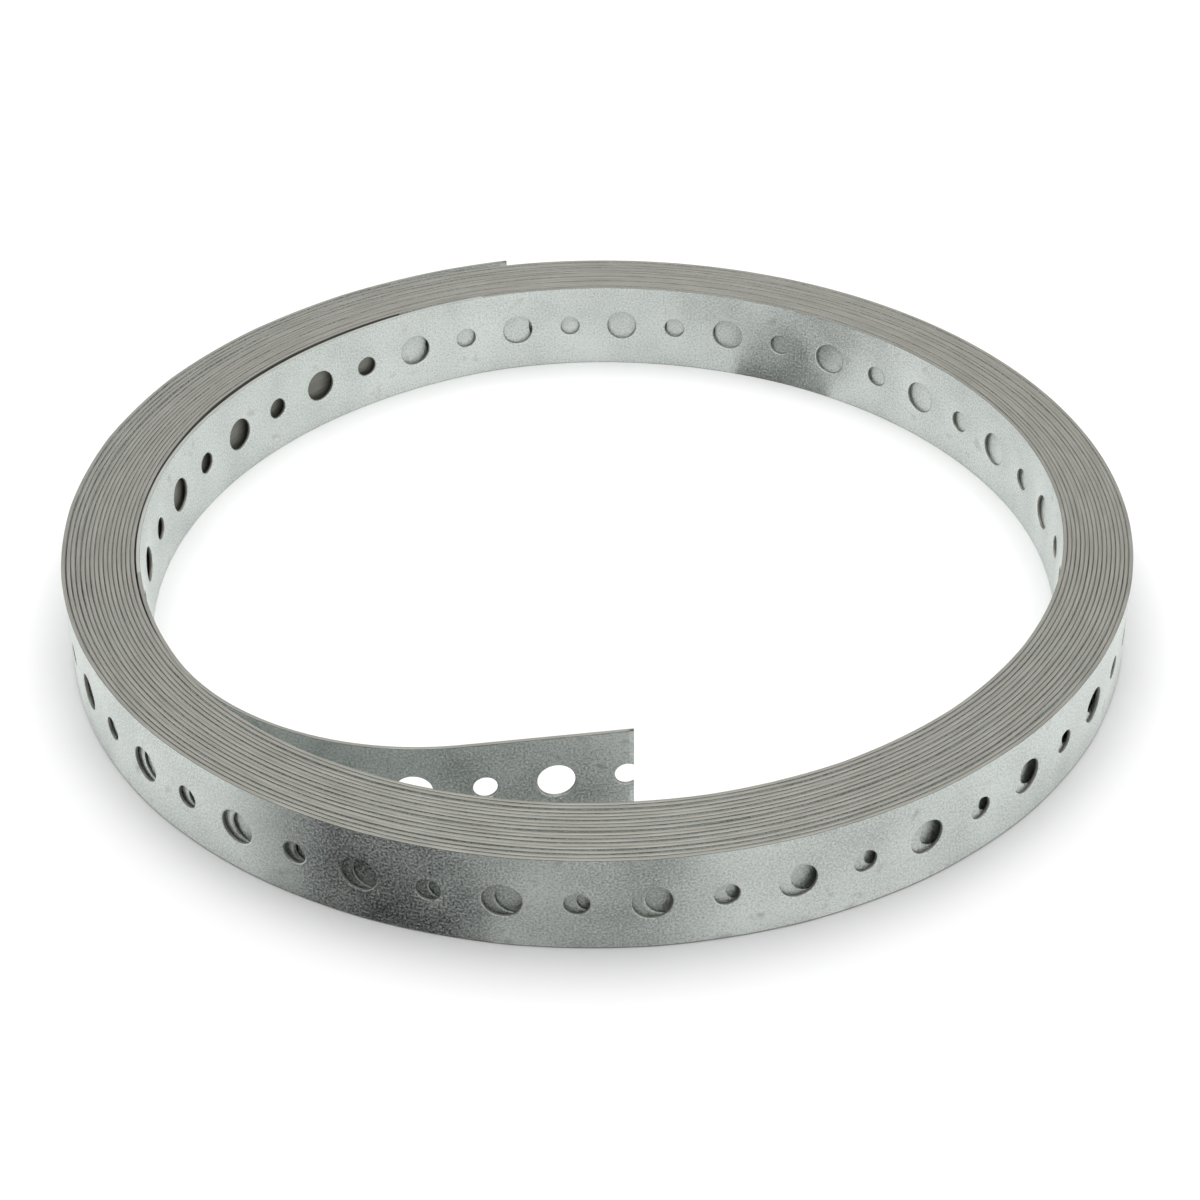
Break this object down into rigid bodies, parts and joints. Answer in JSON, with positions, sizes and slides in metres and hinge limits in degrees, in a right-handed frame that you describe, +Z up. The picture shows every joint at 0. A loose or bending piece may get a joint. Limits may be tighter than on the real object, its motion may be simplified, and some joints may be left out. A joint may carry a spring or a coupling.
{
  "type": "perforated strap roll",
  "caption": "Roll of galvanised perforated steel strap lying flat, with large and small holes by turns and a loose inner end.",
  "frame": {"origin": "middle of the roll's box on the floor, which is the middle of the coil to a quarter of a millimetre", "axes": "+Z up along the coil's axis, -Y towards the side in front of the tail, +X towards the tail's cut end"},
  "size_m": [0.216, 0.2155, 0.02],
  "materials": {
    "galvanised_steel": "galvanised, dull spangle"
  },
  "bodies": {
    "root": {"strap": "galvanised_steel"}
  },
  "joints": []
}
